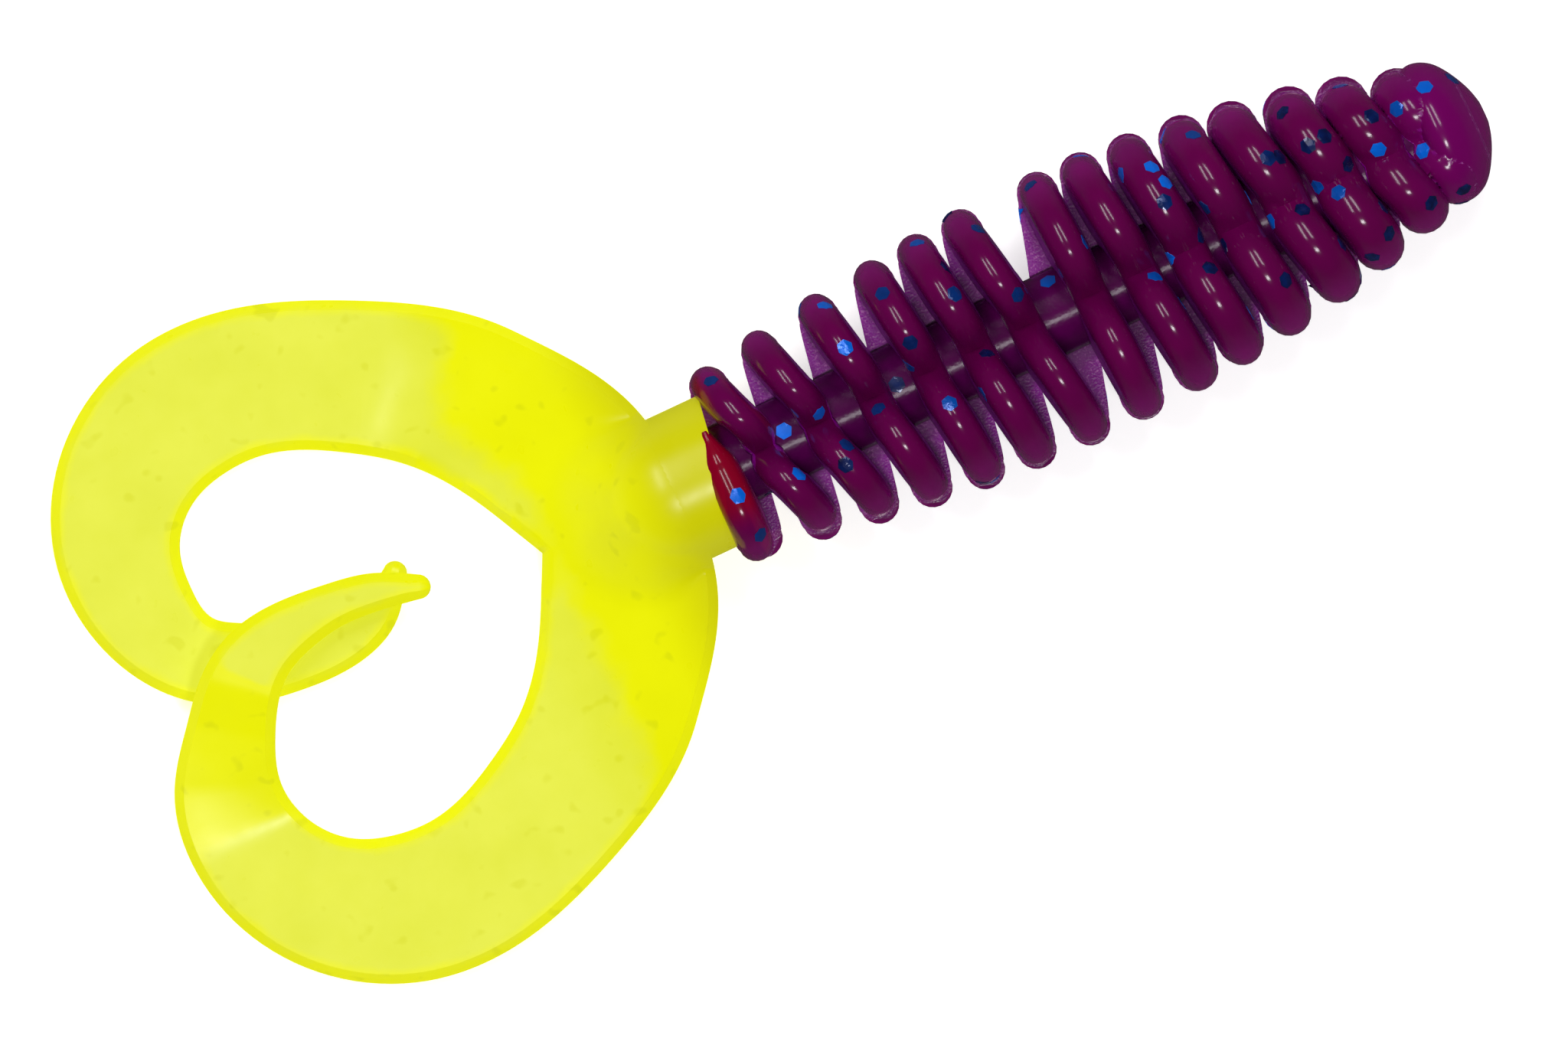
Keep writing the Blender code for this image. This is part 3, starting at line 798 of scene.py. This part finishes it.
class Tail:
    """A curled ribbon: where its edges, centre line and height are at a place along it."""

    def __init__(self, side, end, lift):
        stations = TAIL_CURL + end
        self.side = side
        self.lift = lift
        self.last = len(stations) - 1
        line = Spline(stations)
        inner, outer = list(FORK_INNER), list(FORK_OUTER)
        for i, (behind, aside, width) in enumerate(stations):
            ahead = Vector(line(i + 0.02)[:2]) - Vector(line(i - 0.02)[:2])
            across = Vector((-ahead.y, ahead.x)).normalized() * width / 2
            inner.append((behind - across.x, aside - across.y))
            outer.append((behind + across.x, aside + across.y))
        self.inner, self.outer = Spline(inner), Spline(outer)

    def edges(self, place):
        """Inner and outer edge points as (behind, aside)."""
        return [Vector(edge(place - FORK_START)) for edge in (self.inner, self.outer)]

    def centre(self, place):
        """Middle between the edges as (behind, aside)."""
        inner, outer = self.edges(place)
        return (inner + outer) / 2

    def heading(self, place):
        """Direction of the centre line."""
        return (self.centre(place) - self.centre(place - 0.04)).normalized()

    def fall(self, spot):
        """Share of the way down the slope at a (behind, aside) spot."""
        run = SLOPE_RUN
        if self.side > 0:
            run += LEFT_SLOPE_EXTRA * math.exp(-(((spot[1] - LEFT_SLOPE_MIDDLE) / LEFT_SLOPE_SPREAD) ** 2))
        return soft_rise(spot[0] / run, SLOPE_SHARPNESS)

    def point(self, spot, height):
        """Frame place of a (behind, aside) spot on the sloped and then level plate."""
        y = self.side * spot[1] + TAIL_LEAN * (spot[0] - FORK_APEX)
        return Vector((FORK_FRONT - spot[0], y, TAIL_LEVEL * self.fall(spot) + height))

    def ring(self, place, beyond=0.0, scale=1.0, steps=TOP_STEPS):
        """Section of the ribbon with chamfered upper edges, moved on and scaled at a tip."""
        inner, outer = self.edges(place)
        if beyond:
            move = self.heading(place) * beyond
            middle = (inner + outer) / 2 + move
            inner, outer = (middle + (edge + move - middle) * scale for edge in (inner, outer))
        width = (outer - inner).length
        across = (outer - inner) / width
        lift = self.lift * soft_rise((place - LIFT_START) / (LIFT_END - LIFT_START), LIFT_SHARPNESS)
        half = TAIL_THICKNESS / 2 * (1 - TIP_THINNING * (1 - scale))
        chamfer = min(TAIL_CHAMFER, width / 3)
        low = min(TAIL_LOWER_EDGE, width / 5)
        profile = []
        for i in range(steps + 1):
            profile.append((low + (width - 2 * low) * i / steps, -half))
        profile += [(width, low - half), (width, half - chamfer)]
        for i in range(steps + 1):
            profile.append((width - chamfer - (width - 2 * chamfer) * i / steps, half))
        profile += [(0, half - chamfer), (0, low - half)]
        points = []
        for u, v in profile:
            spot = inner + across * u
            wave, pale = 0.0, 0.0
            if v >= half:
                layer = Vector((spot.x, spot.y * self.side, WAVE_LAYER))
                wave = WAVE_HEIGHT * noise.noise(layer * WAVE_SCALE)
                # Painted sheen: level tops lightened where flat plastic would mirror the light above, but
                # not near the edges or on the ramp
                pale = smooth((self.fall(spot) - SHEEN_START) / (1 - SHEEN_START))
                pale *= smooth(min(u, width - u) / SHEEN_MARGIN)
                if self.lift:
                    ramp = smooth((place - RAMP_START) / RAMP_FADE) * smooth((RAMP_END - place) / RAMP_FADE)
                    pale *= 1 - ramp
            points.append((swell_to_boss(self.point(spot, v + lift + wave), v), pale))
        return points

    def frame_point(self, place):
        """Frame place of the centre line, in metres."""
        return self.point(self.centre(place), 0.0) * MM


def swell_to_boss(point, side):
    """Raise or lower a point of the plate to the round boss, with a fillet that grows to the rear."""
    share = math.hypot(min(point.x - STUB_END, 0) / STUB_DOME, point.y / STUB_RADIUS)
    steep = min(share, BOSS_STEEP)
    slope = BOSS_STEEP / math.sqrt(1 - BOSS_STEEP**2)
    height = STUB_RADIUS * (math.sqrt(1 - steep**2) - slope * (share - steep))
    fillet = BOSS_FILLET * smooth((FORK_EDGE - point.x) / FILLET_RUN) + 0.01
    sign = 1 if side > 0 else -1
    gap = sign * point.z - height
    overlap = max(fillet - abs(gap), 0) / fillet
    point.z = sign * (max(sign * point.z, height) + overlap**2 * fillet / 4)
    return point


def finish_yellow(obj, material):
    """Shade a yellow piece and give it its material."""
    obj.data.shade_smooth()
    obj.data.set_sharp_from_angle(angle=math.radians(TAIL_SHARP_ANGLE))
    obj.data.materials.append(material)


def ribbon_mesh(name, rings):
    """Skin over rings of (point, painted sheen)."""
    points, faces = skin(rings)
    return mesh_from(name, [point for point, _ in points], faces, pale=[pale for _, pale in points])


def make_fork(tails, material):
    """The sloped plate from the root of one tail over the boss to the root of the other."""
    count = round((-1 - FORK_START) * FORK_RINGS_PER_STATION)
    places = [-1 + (FORK_START + 1) * i / count for i in range(count + 1)]
    rings = [tails["left"].ring(place, steps=FORK_TOP_STEPS) for place in places]
    rings += [tails["right"].ring(place, steps=FORK_TOP_STEPS) for place in places[-2::-1]]
    fork = new_object("fork_skin", ribbon_mesh("fork_skin", rings))
    finish_yellow(fork, material)
    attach(fork, "tail_fork")
    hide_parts("tail_fork")


def make_tails(material):
    """Both tails in three lengths each, fixed in place, and the fork between them.
    """
    tails = {"left": Tail(1, LEFT_END, 0.0), "right": Tail(-1, RIGHT_END, CROSSING_LIFT)}
    for side, tail in tails.items():
        parent = "tail_fork"
        for part, (start, end) in CUTS.items():
            last = tail.last if end is None else end
            count = round((last - start) * RINGS_PER_STATION)
            rings = [tail.ring(start + (last - start) * i / count) for i in range(count + 1)]
            if end is None:
                half = (tail.edges(last)[1] - tail.edges(last)[0]).length / 2
                for i in range(1, TIP_STEPS + 1):
                    angle = TIP_SWEEP * i / TIP_STEPS
                    rings.append(tail.ring(last, half * math.sin(angle), math.cos(angle)))
            name = f"{side}_tail_{part}"
            obj = new_object(name + "_skin", ribbon_mesh(name + "_skin", rings))
            finish_yellow(obj, material)
            bodies, spots = [parent, name], [tail.frame_point(place) for place in BLENDS[part]]
            if end is None:
                bodies.reverse()
                spots.reverse()
            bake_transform(obj)
            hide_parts(name)
            parent = name
    make_fork(tails, material)


def make_stub(material):
    """The round yellow stub with its domed end."""
    band = (STUB_FRONT, STUB_FRONT - STUB_BAND, FORK_EDGE - STUB_TUCK)
    profile = [(x, STUB_RADIUS + STUB_PROUD) for x in band]
    for i in range(STUB_STEPS):
        angle = math.pi / 2 * i / STUB_STEPS
        radius = STUB_RADIUS * math.cos(angle) - STUB_SINK * min(i / 2, 1)
        profile.append((STUB_END - STUB_DOME * math.sin(angle), radius))
    rings = []
    for number, (x, radius) in enumerate(profile):
        slant = 0.0 if number else STUB_SLANT
        rings.append([(x + slant * radius * c, radius * c, radius * s) for c, s in circle(CORE_SIDES)])
    stub = new_object("stub_skin", mesh_from("stub_skin", *skin(rings)))
    finish_yellow(stub, material)
    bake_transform(stub)
    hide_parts("tail_stub")


def area_light(name, tilt, size, radiance):
    """A soft box seen from the lure at a tilt along X and Y, with angular sizes, all in degrees."""
    direction = Vector((*[math.tan(math.radians(angle)) for angle in tilt], 1)).normalized()
    light = bpy.data.lights.new(name, "AREA")
    light.shape = "RECTANGLE"
    distance = LIGHT_DISTANCE * MM
    light.size, light.size_y = [2 * distance * math.tan(math.radians(angle / 2)) for angle in size]
    light.energy = radiance * math.pi * light.size * light.size_y
    x_axis = Vector((0, 1, 0)).cross(direction).normalized()
    rotation = Matrix((x_axis, direction.cross(x_axis), direction)).transposed()
    obj = bpy.data.objects.new(name, light)
    place = Vector(LIGHT_TARGET) * MM + direction * distance
    obj.matrix_world = Matrix.Translation(place) @ rotation.to_4x4()
    bpy.context.scene.collection.objects.link(obj)
    return obj


def make_floor():
    """A wide white floor just under the lure."""
    nodes = Nodes("floor_white")
    tint = nodes.mix(nodes.grain(3.0), (0.95, 0.95, 0.95, 1), (0.96, 0.96, 0.96, 1))
    nodes.link(tint, nodes.shader.inputs["Base Color"])
    nodes.shader.inputs["Roughness"].default_value = 0.9
    nodes.shader.inputs["Emission Color"].default_value = (1, 1, 1, 1)
    nodes.shader.inputs["Emission Strength"].default_value = 0.55
    square = [(-1, -1), (1, -1), (1, 1), (-1, 1)]
    corners = [Vector((x * FLOOR_REACH, y * FLOOR_REACH, FLOOR - FLOOR_GAP)) * MM for x, y in square]
    mesh = bpy.data.meshes.new("floor")
    mesh.from_pydata([tuple(corner) for corner in corners], [], [(0, 1, 2, 3)])
    mesh.materials.append(nodes.material)
    floor = new_object("floor", mesh)
    floor.visible_glossy = False


def make_lights():
    """A dim white world, a soft box above, two strips to the left and a small box to the right."""
    world = bpy.data.worlds.new("studio")
    world.use_nodes = True
    world.node_tree.nodes["Background"].inputs["Color"].default_value = (1, 1, 1, 1)
    world.node_tree.nodes["Background"].inputs["Strength"].default_value = 0.05
    bpy.context.scene.world = world
    area_light("top_box", tilt=(0, 0), size=(32, 32), radiance=0.9).visible_glossy = False
    area_light("strip_front", tilt=(14, 28), size=(7, 34), radiance=13.0)
    area_light("strip_rear", tilt=(-14, 28), size=(7, 34), radiance=13.0)
    area_light("side_box", tilt=(0, -20), size=(13, 8), radiance=34.0)
    bpy.context.scene.view_settings.view_transform = "Standard"


def make_camera():
    """The camera straight above, turned so that the trunk runs up to the right."""
    camera = bpy.data.cameras.new("camera")
    camera.sensor_width = SENSOR_WIDTH
    camera.lens = SENSOR_WIDTH * CAMERA_HEIGHT / FRAME_WIDTH
    camera.clip_start = 0.01
    obj = bpy.data.objects.new("camera", camera)
    right = Vector(CAMERA_RIGHT)
    back = Vector((0, 0, 1))
    rotation = Matrix((right, back.cross(right), back)).transposed()
    place = Vector((*CAMERA_TARGET, CAMERA_HEIGHT)) * MM
    obj.matrix_world = Matrix.Translation(place) @ rotation.to_4x4()
    bpy.context.scene.collection.objects.link(obj)
    bpy.context.scene.camera = obj


make_floor()
make_lights()
make_camera()
make_trunk()
yellow_plastic = tail_material()
make_tails(yellow_plastic)
make_stub(yellow_plastic)
